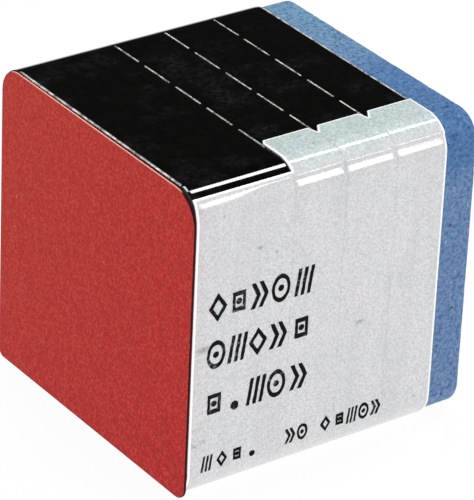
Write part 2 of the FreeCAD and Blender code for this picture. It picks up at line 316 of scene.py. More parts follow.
def chalk_material():
    n = Nodes("blue_chalk")
    cloud = n.noise(1.9, detail=4, roughness=0.6)
    grain = n.noise(0.30, detail=4, roughness=0.75, offset=4)
    fine = n.noise(0.12, detail=2, roughness=0.7, offset=8)
    colour = n.ramp(cloud, (0.32, (0.075, 0.155, 0.33)), (0.68, (0.105, 0.20, 0.39)))
    colour = n.mix(n.range(grain, 0.42, 0.64, 0, 0.9), colour, (0.21, 0.32, 0.51))
    colour = n.mix(n.range(grain, 0.48, 0.32, 0, 0.9), colour, (0.038, 0.105, 0.27))
    light = n.range(n.cells(0.42), 0.10, 0.20, 1, 0)
    light = n.math("MULTIPLY", light, n.range(n.noise(0.6, offset=9), 0.5, 0.6))
    colour = n.mix(light, colour, (0.42, 0.52, 0.66))
    dark = n.math("MULTIPLY", n.range(n.cells(0.75), 0.10, 0.2, 1, 0),
                  n.range(n.noise(1.1, offset=2), 0.5, 0.58))
    colour = n.mix(dark, colour, (0.03, 0.065, 0.17))
    # painted light: the top is painted lighter and greener towards the back
    upper = n.range(n.axis("Z"), HEIGHT - 1.4, HEIGHT - 0.4)
    far = n.math("MULTIPLY", upper, n.range(n.axis("Y"), -4, 8))
    colour = n.mix(far, colour, (1.0, 1.15, 1.0), "MULTIPLY")
    # painted shade: the chalk is painted darker round the top front corner by the dished face
    painted_shade_spot = n.range(n.spot((10, -9, HEIGHT - 0.3), (6, 10, 4.5)), 0.02, 0.35)
    colour = n.mix(painted_shade_spot, colour, (0.56, 0.75, 0.88), "MULTIPLY")
    n.colour(colour)
    n.set(Roughness=0.94, Specular_IOR_Level=0.2, Sheen_Weight=0.1)
    n.bump((cloud, 0.06), (grain, 0.07), (fine, 0.03), (dark, -0.06))
    return n.material


def red_label_material():
    n = Nodes("red_paper")
    # painted light and shade: the red is painted paler towards the back and top, and deeper towards the
    # front and bottom
    across = n.range(n.axis("Y"), -WIDTH / 2, WIDTH / 2)
    up = n.range(n.axis("Z"), 0, HEIGHT)
    painted_light_gradient = n.math("MULTIPLY", n.math("ADD", across, up), 0.5)
    colour = n.ramp(painted_light_gradient, (0.1, (0.525, 0.004, 0.008)), (0.95, (0.54, 0.027, 0.010)))
    fibre = n.noise(0.17, detail=3, roughness=0.7)
    blotch = n.noise(1.4, detail=3, offset=21)
    colour = n.mix(n.range(fibre, 0.47, 0.66, 0, 0.8), colour, (0.68, 0.086, 0.063))
    colour = n.mix(n.range(fibre, 0.5, 0.32, 0, 0.8), colour, (0.38, 0.006, 0.008))
    colour = n.mix(n.range(blotch, 0.4, 0.7, 0, 0.22), colour, (0.40, 0.02, 0.016))
    speck = n.math("MULTIPLY", n.range(n.cells(1.1), 0.05, 0.09, 1, 0),
                   n.range(n.noise(2.5, offset=3), 0.5, 0.6))
    colour = n.mix(speck, colour, (0.16, 0.01, 0.015))
    pale = n.math("MULTIPLY", n.range(n.cells(1.7), 0.03, 0.06, 1, 0),
                  n.range(n.noise(2.1, offset=13), 0.52, 0.62))
    colour = n.mix(n.math("MULTIPLY", pale, 0.6), colour, (0.8, 0.3, 0.28))
    n.colour(colour)
    n.set(Specular_IOR_Level=0.12)
    n.roughness(n.range(fibre, 0.2, 0.8, 0.45, 0.6))
    n.bump((fibre, 0.006), (n.noise(3.5, detail=2, offset=5), 0.03))
    return n.material


def black_film_material():
    n = Nodes("black_film")
    haze = n.noise(0.7, detail=5, roughness=0.75)
    colour = n.ramp(haze, (0.35, (0.0005, 0.0005, 0.0005)), (0.75, (0.0030, 0.0028, 0.0022)))
    # lighter patches on the black film: partly dust smudges, partly a painted sheen
    smudge_and_sheen_patches = n.range(n.noise(3.2, detail=3, roughness=0.6, offset=23), 0.52, 0.72)
    dust_and_sheen = n.range(n.noise(0.35, detail=3, roughness=0.7, offset=27), 0.4, 0.7, 0, 0.5)
    colour = n.mix(n.math("MULTIPLY", smudge_and_sheen_patches, dust_and_sheen), colour, (0.036, 0.036, 0.040))
    wear = n.range(n.noise(0.5, detail=3, roughness=0.7, offset=12), 0.36, 0.58, 0.2, 1)
    rim = n.math("MULTIPLY", n.range(n.attribute("rim_mm"), 0.035, 0.065, 1, 0), wear)
    colour = n.mix(rim, colour, (0.85, 0.79, 0.77))
    n.colour(colour)
    n.set(Specular_IOR_Level=0.5)
    gloss = n.range(n.noise(0.35, detail=3, offset=6), 0.3, 0.8, 0.035, 0.07)
    n.roughness(n.math("MAXIMUM", gloss, n.math("MULTIPLY", rim, 0.5)))
    n.bump((n.noise(0.9, detail=2, offset=8), 0.0008))
    return n.material


def silver_film_material():
    n = Nodes("silver_film")
    patch = n.noise(2.6, detail=3, roughness=0.55)
    mottle = n.noise(0.13, detail=2, roughness=0.7, offset=5)
    stripe = n.noise(1.3, detail=2, stretch=(1, 0.1, 0.1), offset=7)
    colour = n.ramp(patch, (0.3, (0.620, 0.648, 0.660)), (0.7, (0.682, 0.655, 0.680)))
    blush = n.range(n.axis("X"), WRAP_START + 0.3, WRAP_START + 1.6, 1, 0)
    colour = n.mix(blush, colour, (1.0, 0.94, 0.955), "MULTIPLY")
    colour = n.mix(n.range(mottle, 0.5, 0.3, 0, 0.7), colour, (0.45, 0.46, 0.465))
    colour = n.mix(n.range(mottle, 0.5, 0.7, 0, 0.7), colour, (0.84, 0.835, 0.83))
    colour = n.mix(n.range(stripe, 0.45, 0.62, 0, 0.16), colour, (0.48, 0.48, 0.485))
    top = n.range(n.axis("Z"), HEIGHT - 0.6, HEIGHT + 0.05)
    colour = n.mix(top, colour, (0.866, 0.98, 0.955), "MULTIPLY")
    flecks = n.range(n.noise(0.24, detail=3, roughness=0.75, offset=41), 0.4, 0.65, 0.86, 1.14)
    colour = n.mix(top, colour, flecks, "MULTIPLY")
    speck = n.math("MULTIPLY", n.range(n.cells(0.55), 0.05, 0.12, 1, 0),
                   n.range(n.noise(0.8, offset=11), 0.5, 0.6))
    colour = n.mix(n.math("MULTIPLY", speck, 0.7), colour, (0.92, 0.92, 0.92))
    dirt = n.math("MULTIPLY", n.range(n.cells(1.9), 0.03, 0.07, 1, 0),
                  n.range(n.noise(3, offset=17), 0.5, 0.58))
    streak = n.range(n.noise(0.22, detail=3, roughness=0.7, stretch=(0.35, 1, 1), offset=19), 0.42, 0.6)
    for centre, size in SMUDGES:
        smudge = n.math("MULTIPLY", n.range(n.spot(centre, size), 0.1, 0.6), streak)
        dirt = n.math("MAXIMUM", dirt, smudge)
    colour = n.mix(n.math("MULTIPLY", dirt, 0.6), colour, (0.16, 0.16, 0.17))
    # the silver's pale edges are painted pure white: its cut core, and a painted highlight where the
    # film's edge rolls over by the red label
    rim = n.range(n.attribute("rim_mm"), 0.12, 0.19, 1, 0)
    colour = n.mix(rim, colour, (1.0, 1.0, 1.0))
    n.colour(colour)
    n.set(Specular_IOR_Level=0.5)
    gloss = n.range(mottle, 0.2, 0.8, 0.09, 0.15)
    n.roughness(n.math("ADD", gloss, n.math("MULTIPLY", n.attribute("dull"), 0.45)))
    n.bump((mottle, 0.0011), (n.noise(1.3, detail=2, offset=3), 0.002))
    return n.material


def core_material(name, colour, tint):
    """The cut edge or the adhesive side of a label."""
    n = Nodes(name)
    fibre = n.noise(0.12, detail=3, roughness=0.7)
    n.colour(n.ramp(fibre, (0.3, tint), (0.7, colour)))
    n.set(Roughness=0.85, Specular_IOR_Level=0.3)
    n.bump((fibre, 0.01))
    return n.material


def paper_core_material():
    """The base label's cut edge: pink paper along the top, and painted dark elsewhere, as shade in the
    gap round the label.
    """
    n = Nodes("paper_cut_edge")
    fibre = n.noise(0.12, detail=3, roughness=0.7)
    pink = n.ramp(fibre, (0.3, (0.98, 0.33, 0.28)), (0.7, (1.0, 0.48, 0.43)))
    # painted shade: below the top the label's edge is painted near black
    n.colour(n.mix(n.range(n.axis("Z"), HEIGHT - 0.35, HEIGHT - 0.25), (0.035, 0.004, 0.005), pink))
    n.set(Roughness=0.85, Specular_IOR_Level=0.1)
    n.bump((fibre, 0.01))
    return n.material


def ink_material():
    """Black print that has worn through to the silver in places."""
    n = Nodes("black_ink")
    wear = n.noise(0.30, detail=4, roughness=0.75, offset=2)
    rubbed = n.range(n.noise(2.2, detail=2, offset=31), 0.42, 0.66, 0, 0.16)
    colour = n.ramp(
        n.math("ADD", wear, rubbed),
        (0.0, (0.003, 0.003, 0.0035)),
        (0.66, (0.006, 0.006, 0.007)),
        (0.74, (0.10, 0.10, 0.105)),
        (0.84, (0.40, 0.40, 0.405)),
    )
    n.colour(colour)
    n.set(Specular_IOR_Level=0.08)
    n.roughness(n.range(wear, 0.2, 0.8, 0.7, 0.9))
    n.bump((wear, 0.004))
    return n.material


# Small rubbed marks on the silver front, as centre and size.
SMUDGES = (
    ((-10.3, -WIDTH / 2, 11.2), (1.1, 1.0, 0.35)),
    ((-10.4, -WIDTH / 2, 4.3), (0.9, 1.0, 0.4)),
    ((2.2, -WIDTH / 2, 9.6), (0.5, 1.0, 0.25)),
    ((-6.1, -WIDTH / 2, 17.4), (0.35, 1.0, 0.2)),
)
CHALK = chalk_material()
RED = red_label_material()
BLACK = black_film_material()
SILVER = silver_film_material()
PAPER_CORE = paper_core_material()
# The black cut edge's finish also serves as painted shade on the chalk's end and on the silver's edge by
# the red label.
BLACK_CORE_AND_SHADE = core_material("black_cut_edge_and_painted_shade", (0.035, 0.034, 0.034), (0.012, 0.012, 0.012))
SILVER_CORE = core_material("silver_cut_edge", (0.80, 0.80, 0.80), (0.62, 0.62, 0.63))
PAPER_SHADE = core_material("paper_edge_in_shade", (0.05, 0.008, 0.009), (0.025, 0.003, 0.003))
BLUSH_CORE = core_material("silver_edge_by_the_red", (0.84, 0.64, 0.65), (0.70, 0.50, 0.51))
ADHESIVE = core_material("adhesive_side", (0.70, 0.69, 0.66), (0.58, 0.57, 0.54))
INK = ink_material()
# What a face of a film or label is: its place in the piece's list of materials.
# The fourth kind is an edge painted dark, as shade.
SURFACE, EDGE, UNDERSIDE, PAINTED_SHADE_EDGE, BLUSH_EDGE = range(5)

# ---------------------------------------------------------------- meshes


def new_piece(name, vertices, faces, materials, kinds=None, sharp=math.radians(50)):
    """A smooth-shaded mesh piece from millimetre vertices. kinds gives each face's material."""
    mesh = bpy.data.meshes.new(name)
    mesh.from_pydata([Vector(v) * MM for v in vertices], [], faces)
    for material in materials:
        mesh.materials.append(material)
    if kinds is not None:
        mesh.polygons.foreach_set("material_index", kinds)
    mesh.update()
    mesh.shade_smooth()
    mesh.set_sharp_from_angle(angle=sharp)
    piece = bpy.data.objects.new(name, mesh)
    bpy.context.scene.collection.objects.link(piece)
    return piece


def spread(low, high, step):
    """Evenly spaced values from low to high, about step apart."""
    count = max(1, round((high - low) / step))
    return [low + (high - low) * i / count for i in range(count + 1)]


def merged(values, apart=0.004):
    """Sorted values with near repeats dropped."""
    kept = []
    for value in sorted(values):
        if not kept or value - kept[-1] > apart:
            kept.append(value)
    return kept


EDGE_STEPS = (0.0, 0.012, 0.03, 0.06, 0.12, 0.17, 0.21, 0.25, 0.35)    # mesh columns by an edge
EDGE_RADIUS = 0.03
CUT_RADIUS = 0.008
SAG_WIDTH = 0.4
CURLS = 0.0035                              # how far a film waves up and down
ROLL_WIDTH = 0.19
ROLL_BLEND = 0.018
ROLL_SLOPE = 0.27
EVERYWHERE = ((-2 * PERIMETER, 2 * PERIMETER),)


def edge_drop(distance, sag, radius):
    """How far a film's surface drops near an edge: a tight rounding and a wide soft sag."""
    drop = sag * (1 - min(distance / SAG_WIDTH, 1)) ** 2
    if distance < radius:
        drop += radius * (1 - math.sqrt(1 - (1 - distance / radius) ** 2))
    return drop


def rolled_drop(distance, slope):
    """How far the black film drops at the red end, where its edge is rolled over."""
    past = (ROLL_WIDTH - distance) / ROLL_BLEND
    return slope * ROLL_BLEND * math.log1p(math.exp(past))


def off_stretch(u, stretch):
    """How far u lies outside a stretch of the outline."""
    return max(stretch[0] - u, u - stretch[1], 0.0)


class Film:
    """A length of the wrap, flattened out to x across and u along the outline.

    near and far are the stretches where its low-X and its high-X edge is free, and slits says that
    the near edge is cut back there. notches are the corners cut off its high-u end, near and far,
    as (along X, along u). pale gives the stretches of each edge, and then whether the end, shows
    the film's pale core. broad is how much wider the pale line is on a side that is free all along.
    """

    def __init__(self, x_span, u_span, near, far, pale, slits=False,
                 notches=((0, 0), (0, 0)), broad=1.0):
        self.low, self.high = x_span
        self.start, self.end = u_span
        self.near, self.far = near, far
        self.slit = SLIT if slits else 0.0
        self.inner = self.low + self.slit
        self.notches = notches
        self.pale_near, self.pale_far = (
            list(edge) + [(self.end - deep, self.end)] * (deep > 0)
            for edge, (_, deep) in zip(pale, notches)
        )
        self.pale_end = pale[2]
        self.broad = [broad if side is EVERYWHERE else 1.0 for side in (near, far)]

    def corner(self, u, notch):
        """How far a notch cuts in from the edge at u."""
        wide, deep = notch
        return wide * max(0.0, 1 - (self.end - u) / deep) if deep else 0.0

    def left(self, u):
        return self.inner + self.corner(u, self.notches[0])

    def right(self, u):
        return self.high - self.corner(u, self.notches[1])

    def near_distance(self, x, u):
        """Distance from the low-X edge where it is free."""
        return min(math.hypot(max(x - self.left(u), 0), off_stretch(u, cut)) for cut in self.near)

    def far_distance(self, x, u):
        """Distance from the high-X edge where it is free."""
        return min(math.hypot(max(self.right(u) - x, 0), off_stretch(u, cut)) for cut in self.far)

    def drop(self, x, u, sag, roll=None):
        """How far the surface drops towards its nearest edge. Perforation cuts are crisp.

        roll gives the slope of a rolled near edge at u, which takes the place of the sag there.
        """
        radii = [EDGE_RADIUS if side is EVERYWHERE else CUT_RADIUS for side in (self.near, self.far)]
        near = self.near_distance(x, u)
        rolled = rolled_drop(near, roll(u)) if roll else 0.0
        return max(
            edge_drop(max(min(u - self.start, self.end - u), 0.0), sag, EDGE_RADIUS),
            edge_drop(near, 0.0 if roll else sag, radii[0]) + rolled,
            edge_drop(self.far_distance(x, u), sag, radii[1]),
        )

    def rim(self, x, u):
        """Distance from the nearest edge that shows pale."""
        gaps = [WIDTH]
        for side, pale, broad in zip((self.left(u), self.right(u)), (self.pale_near, self.pale_far),
                                     self.broad):
            gaps += [math.hypot(x - side, off_stretch(u, cut)) / broad for cut in pale]
        if self.pale_end:
            gaps.append(self.end - u)
        return max(min(gaps), 0.0)

    def rows(self):
        """Places along the outline where the mesh has a row."""
        rows = []
        start = -PERIMETER
        for shape, length, _, _ in STRETCHES * 2:
            step = ROUND * math.radians(3) if shape == "arc" else 0.6
            rows += spread(start, start + length, step)
            start += length
        rows += spread(ROUND * math.radians(RAMP[0] - 4), ROUND * math.radians(RAMP[1] + 4), 0.02)
        ends = {self.start, self.end}
        for cut in list(self.near) + list(self.far):
            ends |= set(cut)
        ends |= {self.end - deep for _, deep in self.notches}
        fixed = sorted(u for u in ends if self.start <= u <= self.end)
        rows += [u + side * e for u in fixed for e in EDGE_STEPS[1:] for side in (1, -1)]
        rows = [u for u in rows if self.start < u < self.end and min(abs(u - f) for f in fixed) > 0.004]
        return merged(rows + fixed)

    def columns(self):
        """Places across the film where the mesh has a column, before its notches."""
        columns = [self.low] + [self.inner + e for e in EDGE_STEPS] + [self.high - e for e in EDGE_STEPS]
        return merged(columns + spread(self.inner + 0.5, self.high - 0.5, 0.55))

    def place(self, column, u):
        """A column's x at u, where the notches squeeze it."""
        if column < self.inner - 1e-9:
            return column
        left, right = self.left(u), self.right(u)
        return left + (column - self.inner) / (self.high - self.inner) * (right - left)


def film_piece(name, film, seed, materials, level, sag=0.02, roll=None, dull=None, near_wall=None):
    """The film as a closed sheet, bent round the wrap's outline at level(u, x) above it.

    dull gives how rubbed the surface is at (u, x), and near_wall what the low-X edge is at u.
    """
    rows, columns = film.rows(), film.columns()
    wide, tall = len(columns), len(rows)
    half = wide * tall
    vertices, rims, dulls = [], [], []
    for top in (True, False):
        for u in rows:
            for column in columns:
                x = film.place(column, u)
                height = level(u, x) + CURLS * noise.noise(Vector((x * 0.45, u * 0.45, seed)))
                height -= film.drop(x, u, sag, roll) if top else FILM
                vertices.append((x, *wrap_place(u, height)))
                rims.append(film.rim(x, u))
                dulls.append(dull(u, x) if dull else 0.0)

    def present(i, j):
        if not (0 <= i < tall - 1 and 0 <= j < wide - 1):
            return False
        if film.slit and columns[j + 1] <= film.inner + 1e-9:
            middle = (rows[i] + rows[i + 1]) / 2
            return all(off_stretch(middle, cut) > 0 for cut in film.near)
        return True

    faces, kinds = [], []
    for i in range(tall - 1):
        for j in range(wide - 1):
            if not present(i, j):
                continue
            a, b, c, d = i * wide + j, i * wide + j + 1, (i + 1) * wide + j + 1, (i + 1) * wide + j
            faces += [(a, b, c, d), (d + half, c + half, b + half, a + half)]
            kinds += [SURFACE, UNDERSIDE]
            for (p, q), neighbour in (((a, b), (i - 1, j)), ((b, c), (i, j + 1)),
                                      ((c, d), (i + 1, j)), ((d, a), (i, j - 1))):
                if not present(*neighbour):
                    faces.append((q, p, p + half, q + half))
                    kinds.append(near_wall(rows[i]) if near_wall and neighbour[1] < 0 else EDGE)
    used = sorted({v for face in faces for v in face})
    index = {v: k for k, v in enumerate(used)}
    faces = [tuple(index[v] for v in face) for face in faces]
    piece = new_piece(name, [vertices[v] for v in used], faces, materials, kinds)
    for attribute, values in (("rim_mm", rims), ("dull", dulls)):
        store = piece.data.attributes.new(attribute, "FLOAT", "POINT")
        store.data.foreach_set("value", [values[v] for v in used])
    return piece


def cut_rows(first):
    """The stretches of u cut along one face, from the first cut on."""
    return [(first + k * CUT_PITCH, first + k * CUT_PITCH + CUT_LENGTH) for k in range(CUTS)]


CUT_SPAN = CUT_PITCH * (CUTS - 1) + CUT_LENGTH
BLACK_CUTS = (cut_rows(TOP_START + FIRST_TOP_CUT + HALF_Y)
              + cut_rows(BACK_START + (SIDE_FLAT - CUT_SPAN) / 2))
SILVER_CUTS = (cut_rows(BOTTOM_END - (TOP_FLAT + CUT_SPAN) / 2)
               + cut_rows(-(SIDE_FLAT + CUT_SPAN) / 2) + [(0.0, TAB_END)])
FIRST_LINE = strip_boxes[1][0].x


def rides(piece, body, slot, *nodes):
    """The piece rides on a body and stands for CAD nodes. Its slot is not used."""
    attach(piece, body)
    if nodes:
        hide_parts(*nodes)


def base_lap(u, x):
    """The base band's lap, a long gentle ramp at the red end that tightens towards strip 1."""
    share = smooth((x - WRAP_START - 2.2) / 4.0)
    return lap_height(u, [wide + (tight - wide) * share for wide, tight in zip(WIDE_RAMP, RAMP)])


def base_dull(u, x):
    """How rubbed the base band's lap is: dull below a line that rises from the red end."""
    angle = math.degrees(u / ROUND)
    line = 29.0 + 1.02 * (x - WRAP_START - 0.5)
    below = smooth((line - angle) / 2.5 + 0.5)
    return below * smooth((angle - 8) / 6) * smooth((x - WRAP_START - 0.3) / 1.2)


def base_roll(u):
    """Slope of the black film's rolled edge at the red end, over the top and round the front only."""
    return ROLL_SLOPE * smooth((BACK_START - QUARTER - u) / 1.5)


def base_silver_wall(u):
    """The silver film's edge at the red end: pink by the red on the front, and painted dark elsewhere,
    as shade in the gap round the label.
    """
    return BLUSH_EDGE if -SIDE_FLAT < u < SILVER_BASE_END else PAINTED_SHADE_EDGE


def base_band():
    x_span = (WRAP_START, FIRST_LINE)
    top_edge = [(TOP_START, TOP_START + TOP_FLAT)]
    film = Film(x_span, BLACK_SPAN, EVERYWHERE, BLACK_CUTS, (top_edge, BLACK_CUTS, False), broad=2.3)
    black = film_piece("base_band_black_film", film, 1.0, (BLACK, BLACK_CORE_AND_SHADE, ADHESIVE),
                       lambda u, x: 0.0, sag=0.03, roll=base_roll)
    rides(black, "chalk_and_base", "black_film", "base_band_black")
    film = Film(x_span, (SILVER_START, SILVER_BASE_END), EVERYWHERE, SILVER_CUTS, (EVERYWHERE, (), True))
    silver = film_piece("base_band_silver_film", film, 2.0,
                        (SILVER, SILVER_CORE, ADHESIVE, BLACK_CORE_AND_SHADE, BLUSH_CORE),
                        base_lap, dull=base_dull, near_wall=base_silver_wall)
    rides(silver, "chalk_and_base", "silver_film", "base_band_silver")


def crease(u):
    """A faint ridge round the front top edge, where the lift tabs have been creased over."""
    place = ROUND * math.radians(90 - CREASE_ANGLE)
    return CREASE_RISE * math.exp(-((u - place) / CREASE_WIDTH) ** 2)


def tear_strip(number):
    """One strip: its black film, and its silver film with the lift tab that lies over the top."""
    low, high = strip_boxes[number]
    body, last = f"tear_strip_{number}", number == len(STRIPS)
    far = EVERYWHERE if last else BLACK_CUTS
    film = Film((low.x, high.x), BLACK_SPAN, BLACK_CUTS, far, (BLACK_CUTS, far, False), slits=True,
                broad=2.8)
    black = film_piece(f"{body}_black_film", film, 3.0 + number, (BLACK, BLACK_CORE_AND_SHADE, ADHESIVE),
                       lambda u, x: 0.0)
    rides(black, body, "black_film", f"{body}_black")

    share = FIRST_NOTCH if number == 1 else 1.0
    notches = ([size * share for size in NEAR_NOTCH], (0.0, 0.0) if last else FAR_NOTCH)
    pale = ([(SILVER_BASE_END, TAB_END)] if number == 1 else (), EVERYWHERE if last else (), True)
    film = Film((low.x, high.x), (SILVER_START, TAB_END), SILVER_CUTS,
                EVERYWHERE if last else SILVER_CUTS, pale, slits=True, notches=notches)
    ramp = [angle + LAP_SHIFTS[number] for angle in RAMP]
    silver = film_piece(f"{body}_silver_film_and_tab", film, 8.0 + number,
                        (SILVER, SILVER_CORE, ADHESIVE), lambda u, x: lap_height(u, ramp) + crease(u))
    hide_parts(f"{body}_silver", f"lift_tab_{number}")
    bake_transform(silver)


# ---------------------------------------------------------------- printed marks

INK_LIFT = 0.012
INK_DEPTH = 0.010
STROKE = 0.33
NARROW = 0.70
TALL = 2.45
SMALL = 1.45
# Rows of marks: first x, lowest z, height, pitch, and the marks. None crosses a tear line.
MARK_ROWS = (
    (-9.9, 12.75, TALL, 1.62, "diamond square chevron target"),
    (-3.25, 12.75, TALL, 1.62, "bars"),
    (-9.9, 9.35, TALL, 1.62, "target bars diamond chevron"),
    (-3.25, 9.35, TALL, 1.62, "square"),
    (-9.9, 5.75, TALL, 1.62, "square dot bars target"),
    (-3.25, 5.75, TALL, 1.62, "chevron"),
    (-10.0, 1.9, SMALL, 1.2, "bars diamond square dot"),
    (-3.4, 1.9, SMALL, 0.98, "chevron target"),
    (-0.55, 1.9, SMALL, 0.98, "diamond"),
    (0.60, 1.9, SMALL, 0.98, "square bars target chevron"),
)


def side_steps(points):
    """How many steps each side of an outline is divided into."""
    ends = zip(points, points[1:] + points[:1])
    return [max(1, round(math.dist(start, end) / 0.12)) for start, end in ends]


def ragged(points, steps, seed):
    """A closed outline in (x, z) with its sides divided and nudged, as ink spreads."""
    outline = []
    for k, (x, z) in enumerate(points):
        next_x, next_z = points[(k + 1) % len(points)]
        for i in range(steps[k]):
            px, pz = x + (next_x - x) * i / steps[k], z + (next_z - z) * i / steps[k]
            nudge = noise.noise_vector(Vector((px * 3.1, pz * 3.1, seed)))
            outline.append((px + 0.035 * nudge.x, pz + 0.035 * nudge.y))
    return outline


def polygon(x, z, reach, sides, turn=0.0):
    """A regular polygon in (x, z)."""
    angles = [math.radians(turn + 360 * k / sides) for k in range(sides)]
    return [(x + reach * math.cos(a), z + reach * math.sin(a)) for a in angles]


def mark_outlines(kind, x, z, height):
    """A mark's outlines, each with the outline of its hole or None. Marks are narrow, like print."""
    stroke = STROKE * (0.25 + 0.75 * height / TALL)
    reach = height * 0.42
    cx, cz = x + reach * NARROW, z + height / 2

    def narrowed(points):
        return [(cx + (px - cx) * NARROW, pz) for px, pz in points]

    def loop(sides, turn):
        inside = 1 - stroke / (reach * math.cos(math.pi / sides))
        outer, inner = (polygon(cx, cz, reach * share, sides, turn) for share in (1, inside))
        return narrowed(outer), narrowed(inner)

    def slanted(left, low, high, wide, lean):
        return [(left, low), (left + wide, low), (left + wide + lean, high), (left + lean, high)], None

    dot = (polygon(cx, cz, stroke * 0.7, 12), None)
    if kind == "diamond":
        return [loop(4, 0)]
    if kind == "square":
        return [loop(4, 45), dot]
    if kind == "target":
        return [loop(24, 0), dot]
    if kind == "dot":
        return [(polygon(cx, cz - reach * 0.6, stroke, 12), None)]
    if kind == "bars":
        low, high = z + 0.1 * height, z + 0.9 * height
        return [slanted(x + k * height * 0.2, low, high, height * 0.11, height * 0.12)
                for k in range(3)]
    point, tips = height * 0.18, (x, x + height * 0.25)
    low, high = z + 0.12 * height, z + 0.88 * height
    return [
        ([(t, low), (t + stroke, low), (t + stroke + point, cz), (t + stroke, high), (t, high),
          (t + point, cz)], None)
        for t in tips
    ]


def plate(outline, hole):
    """A thin plate on the front of the wrap, as vertices and faces."""
    front, back = -WIDTH / 2 - INK_LIFT, -WIDTH / 2 - INK_LIFT + INK_DEPTH
    loops = [outline] + ([hole] if hole else [])
    count = len(outline)
    vertices = [(x, y, z) for y in (front, back) for loop in loops for x, z in loop]
    behind = count * len(loops)
    faces = []
    for k in range(count):
        n = (k + 1) % count
        faces.append((n, k, k + behind, n + behind))
        if hole:
            inner, inner_next = count + k, count + n
            faces.append((inner, inner_next, inner_next + behind, inner + behind))
            faces.append((k, n, inner_next, inner))
            faces.append((n + behind, k + behind, inner + behind, inner_next + behind))
    if not hole:
        faces.append(tuple(range(count)))
        faces.append(tuple(range(2 * count - 1, count - 1, -1)))
    return vertices, faces


def printed_marks():
    """Rows of plain marks, cut up so that each rides on the band or strip that it is printed on."""
    bands = {"chalk_and_base": FIRST_LINE}
    bands.update({f"tear_strip_{n}": strip_boxes[n][1].x for n in STRIPS})
    meshes = {body: ([], []) for body in bands}
    for row, (x, z, height, pitch, kinds) in enumerate(MARK_ROWS):
        for k, kind in enumerate(kinds.split()):
            left = x + k * pitch
            body = next(b for b, edge in bands.items() if left < edge)
            vertices, faces = meshes[body]
            for outline, hole in mark_outlines(kind, left, z, height):
                steps = side_steps(outline)
                hole = ragged(hole, steps, row) if hole else None
                more, new_faces = plate(ragged(outline, steps, row), hole)
                faces += [tuple(v + len(vertices) for v in face) for face in new_faces]
                vertices += more
    for body, (vertices, faces) in meshes.items():
        if vertices:
            piece = new_piece(f"{body}_printed_marks", vertices, faces, (INK,))
            rides(piece, body, "black_film")


def rounded_ring(half_y, half_z, radii, centre_z, count):
    """Points round a rounded rectangle, from the top's front end over to the back and round.

    radii are those of the back top, back bottom, front bottom and front top corners.
    """
    back_top, back_bottom, front_bottom, front_top = (max(radius, 1e-4) for radius in radii)
    stretches = (
        ((front_top - half_y, half_z), (half_y - back_top, half_z)),
        ((half_y - back_top, half_z - back_top), back_top, 90),
        ((half_y, half_z - back_top), (half_y, back_bottom - half_z)),
        ((half_y - back_bottom, back_bottom - half_z), back_bottom, 0),
        ((half_y - back_bottom, -half_z), (front_bottom - half_y, -half_z)),
        ((front_bottom - half_y, front_bottom - half_z), front_bottom, -90),
        ((-half_y, front_bottom - half_z), (-half_y, half_z - front_top)),
        ((front_top - half_y, half_z - front_top), front_top, 180),
    )
    lengths = [
        math.dist(*stretch) if len(stretch) == 2 else math.pi / 2 * stretch[1] for stretch in stretches
    ]
    points = []
    for k in range(count):
        u = sum(lengths) * k / count
        for length, stretch in zip(lengths, stretches):
            if u <= length + 1e-9:
                break
            u -= length
        if len(stretch) == 2:
            (y, z), (next_y, next_z) = stretch
            share = u / length
            points.append((y + (next_y - y) * share, z + (next_z - z) * share + centre_z))
        else:
            (y, z), radius, angle = stretch
            turn = math.radians(angle) - u / radius
            points.append((y + radius * math.cos(turn), z + radius * math.sin(turn) + centre_z))
    return points


def ring_piece(name, rings, materials, kinds_by_row, displace=None):
    """A closed surface from rings of points, each joined to the next, with its ends filled."""
    count = len(rings[0])
    vertices = [p for ring in rings for p in ring]
    faces, kinds = [], []
    for r in range(len(rings) - 1):
        for k in range(count):
            n = (k + 1) % count
            faces.append((r * count + k, r * count + n, (r + 1) * count + n, (r + 1) * count + k))
            kinds.append(kinds_by_row[r])
    for ring, flip, kind in ((0, True, kinds_by_row[0]), (len(rings) - 1, False, kinds_by_row[-1])):
        middle = np.mean(rings[ring], axis=0)
        vertices.append(tuple(middle))
        centre = len(vertices) - 1
        for k in range(count):
            n = (k + 1) % count
            a, b = ring * count + k, ring * count + n
            faces.append((centre, b, a) if flip else (centre, a, b))
            kinds.append(kind)
    if displace:
        vertices = [displace(v) for v in vertices]
    return new_piece(name, vertices, faces, materials, kinds)


